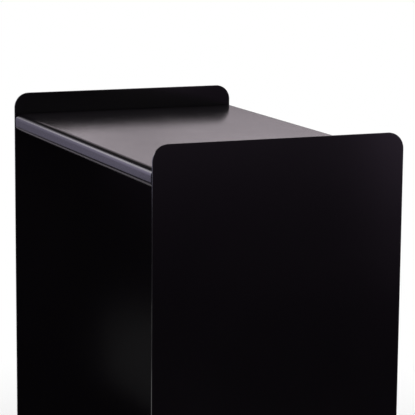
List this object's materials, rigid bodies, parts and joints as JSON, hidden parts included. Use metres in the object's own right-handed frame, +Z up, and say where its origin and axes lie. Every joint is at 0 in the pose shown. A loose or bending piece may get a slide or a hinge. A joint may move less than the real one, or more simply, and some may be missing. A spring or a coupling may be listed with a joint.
{
  "type": "firewood rack",
  "caption": "Open-fronted hearth rack for split logs: plain plate sides with rounded corners carry a folded, recessed top shelf and a folded base shelf.",
  "frame": {"origin": "on the floor, under the middle of the rack", "axes": "+Z up, -Y towards the open front, +X towards the right side as seen from the front"},
  "size_m": [0.6034, 0.365, 0.7],
  "materials": {
    "black_powder_coat": "satin black powder coat on steel sheet",
    "zinc_plated_steel": "bright zinc plate on studs, nuts and washers",
    "black_rubber": "matt moulded rubber"
  },
  "bodies": {
    "root": {"side_panel_left": "black_powder_coat", "side_panel_right": "black_powder_coat", "top_shelf": "black_powder_coat", "base_shelf": "black_powder_coat", "top_studs_left": "zinc_plated_steel", "top_washers_left": "zinc_plated_steel", "top_nuts_left": "zinc_plated_steel", "top_studs_right": "zinc_plated_steel", "top_washers_right": "zinc_plated_steel", "top_nuts_right": "zinc_plated_steel", "base_studs_left": "zinc_plated_steel", "base_washers_left": "zinc_plated_steel", "base_nuts_left": "zinc_plated_steel", "base_studs_right": "zinc_plated_steel", "base_washers_right": "zinc_plated_steel", "base_nuts_right": "zinc_plated_steel", "glide_front_left": "black_rubber", "glide_front_right": "black_rubber", "glide_rear_left": "black_rubber", "glide_rear_right": "black_rubber"}
  },
  "joints": []
}
